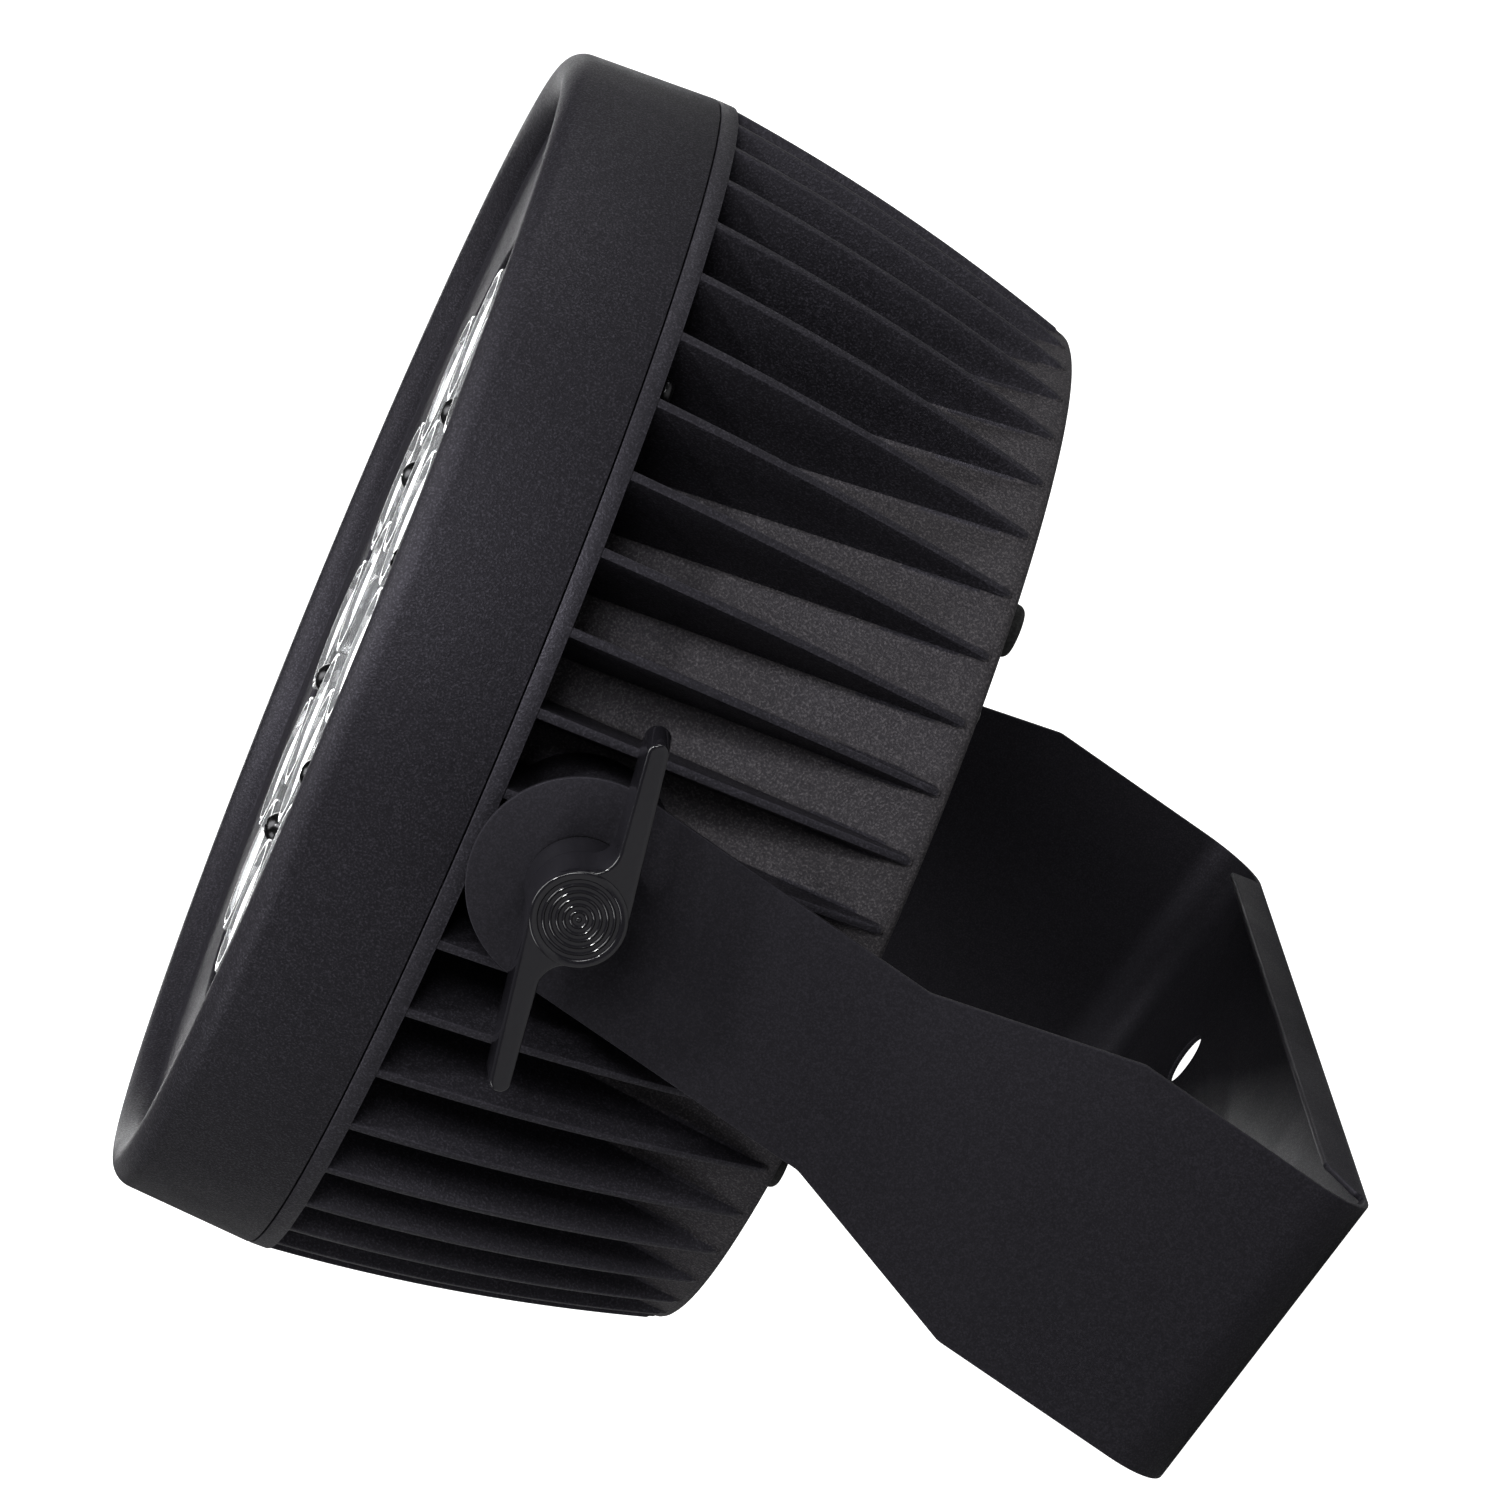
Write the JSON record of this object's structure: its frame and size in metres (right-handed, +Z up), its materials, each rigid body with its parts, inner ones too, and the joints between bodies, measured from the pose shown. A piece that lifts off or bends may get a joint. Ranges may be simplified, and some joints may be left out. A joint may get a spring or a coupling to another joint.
{
  "type": "par can light",
  "caption": "Fanless LED par can: finned round head with a deep front ring, tilting between the arms of a sheet-metal U yoke and clamped by wing knobs.",
  "frame": {"origin": "centre of the object's box in plan, at the underside of the yoke's base", "axes": "+Z up from the yoke's base towards the head; +X along the tilt axis, towards the right-hand knob; the beam leans from +Z towards -Y at rest"},
  "size_m": [0.3026, 0.2498, 0.2385],
  "materials": {
    "yoke_paint": "fine matte powder coat, near black",
    "heatsink_paint": "textured black powder coat on cast aluminium",
    "bezel_paint": "textured black powder coat",
    "cover_paint": "matte black coat on sheet aluminium",
    "knob_plastic": "gloss black moulded plastic",
    "bright_steel": "zinc plated, satin",
    "black_rubber": "matte black rubber",
    "clear_lens": "clear polished acrylic",
    "matte_plastic": "matte black moulding",
    "black_screws": "black oxide, slight gloss",
    "display_tint": "dark tinted acrylic",
    "blue_plastic": "blue moulded connector",
    "grey_plastic": "light grey moulding",
    "white_board": "white solder mask",
    "green_board": "green circuit board",
    "copper_winding": "varnished copper winding"
  },
  "bodies": {
    "yoke_frame": {"yoke": "yoke_paint"},
    "head": {"bezel_screw_1": "black_screws", "bezel_screw_2": "black_screws", "bezel_screw_3": "black_screws", "bezel_screw_4": "black_screws", "control_board": "green_board", "cover_screw_1": "black_screws", "cover_screw_2": "black_screws", "cover_screw_3": "black_screws", "cover_screw_4": "black_screws", "cover_screw_5": "black_screws", "cover_screw_6": "black_screws", "data_in_socket": "matte_plastic", "data_out_socket": "matte_plastic", "display_module": "grey_plastic", "display_window": "display_tint", "driver_board": "green_board", "driver_capacitor": "grey_plastic", "driver_choke": "copper_winding", "driver_transformer": "copper_winding", "driver_tray": "bright_steel", "friction_washer_left": "black_rubber", "friction_washer_right": "black_rubber", "front_bezel": "bezel_paint", "fuse_holder": "matte_plastic", "heatsink": "heatsink_paint", "led_board": "white_board", "lens_carrier": "matte_plastic", "lens_plate": "clear_lens", "lens_plate_seal": "black_rubber", "lens_screw_1": "black_screws", "lens_screw_2": "black_screws", "lens_screw_3": "black_screws", "lens_screw_4": "black_screws", "lens_screw_5": "black_screws", "lens_screw_6": "black_screws", "power_in_socket": "blue_plastic", "power_out_socket": "grey_plastic", "rear_cover": "cover_paint", "rear_cover_seal": "black_rubber", "rear_foot_1": "black_rubber", "rear_foot_2": "black_rubber", "rear_foot_3": "black_rubber", "rear_foot_4": "black_rubber", "thermal_pad": "grey_plastic"},
    "right_washer": {"clamp_washer_right": "bright_steel"},
    "right_knob": {"clamp_knob_right": "knob_plastic", "clamp_stud_right": "bright_steel"},
    "left_washer": {"clamp_washer_left": "bright_steel"},
    "left_knob": {"clamp_knob_left": "knob_plastic", "clamp_stud_left": "bright_steel"},
    "latch": {"data_latch": "bright_steel"},
    "fuse": {"fuse_cap": "matte_plastic"},
    "button_1": {"menu_button_1": "matte_plastic"},
    "button_2": {"menu_button_2": "matte_plastic"},
    "button_3": {"menu_button_3": "matte_plastic"},
    "button_4": {"menu_button_4": "matte_plastic"}
  },
  "joints": [
    {"name": "head_tilt", "type": "hinge", "parent": "yoke_frame", "child": "head", "pos_m": [0, 0.0039, 0.1597], "axis": [1, 0, 0], "range_deg": [-120, 95]},
    {"name": "right_washer_back_off", "type": "slide", "parent": "head", "child": "right_washer", "axis": [1, 0, 0], "range_m": [0, 0.0025]},
    {"name": "right_knob_turn", "type": "hinge", "parent": "right_washer", "child": "right_knob", "pos_m": [0, 0.0039, 0.1597], "axis": [1, 0, 0], "range_deg": [0, 720]},
    {"name": "left_washer_back_off", "type": "slide", "parent": "head", "child": "left_washer", "axis": [-1, 0, 0], "range_m": [0, 0.0025]},
    {"name": "left_knob_turn", "type": "hinge", "parent": "left_washer", "child": "left_knob", "pos_m": [0, 0.0039, 0.1597], "axis": [-1, 0, 0], "range_deg": [0, 720]},
    {"name": "button_1_press", "type": "slide", "parent": "head", "child": "button_1", "axis": [0, -0.2164, 0.9763], "range_m": [0, 0.0008], "stiffness_N_per_m": 1200, "springref_m": -0.0004},
    {"name": "button_2_press", "type": "slide", "parent": "head", "child": "button_2", "axis": [0, -0.2164, 0.9763], "range_m": [0, 0.0008], "stiffness_N_per_m": 1200, "springref_m": -0.0004},
    {"name": "button_3_press", "type": "slide", "parent": "head", "child": "button_3", "axis": [0, -0.2164, 0.9763], "range_m": [0, 0.0008], "stiffness_N_per_m": 1200, "springref_m": -0.0004},
    {"name": "button_4_press", "type": "slide", "parent": "head", "child": "button_4", "axis": [0, -0.2164, 0.9763], "range_m": [0, 0.0008], "stiffness_N_per_m": 1200, "springref_m": -0.0004},
    {"name": "latch_press", "type": "slide", "parent": "head", "child": "latch", "axis": [0, -0.2164, 0.9763], "range_m": [0, 0.0012], "stiffness_N_per_m": 1500, "springref_m": -0.0004},
    {"name": "fuse_cap_turn", "type": "hinge", "parent": "head", "child": "fuse", "pos_m": [0, -0.04105, 0.08479], "axis": [0, 0.2164, -0.9763], "range_deg": [0, 45]}
  ],
  "couplings": [
    {"joint": "right_knob_turn", "follows": "right_washer_back_off", "rad_per_m": 5026.5},
    {"joint": "left_knob_turn", "follows": "left_washer_back_off", "rad_per_m": 5026.5}
  ]
}
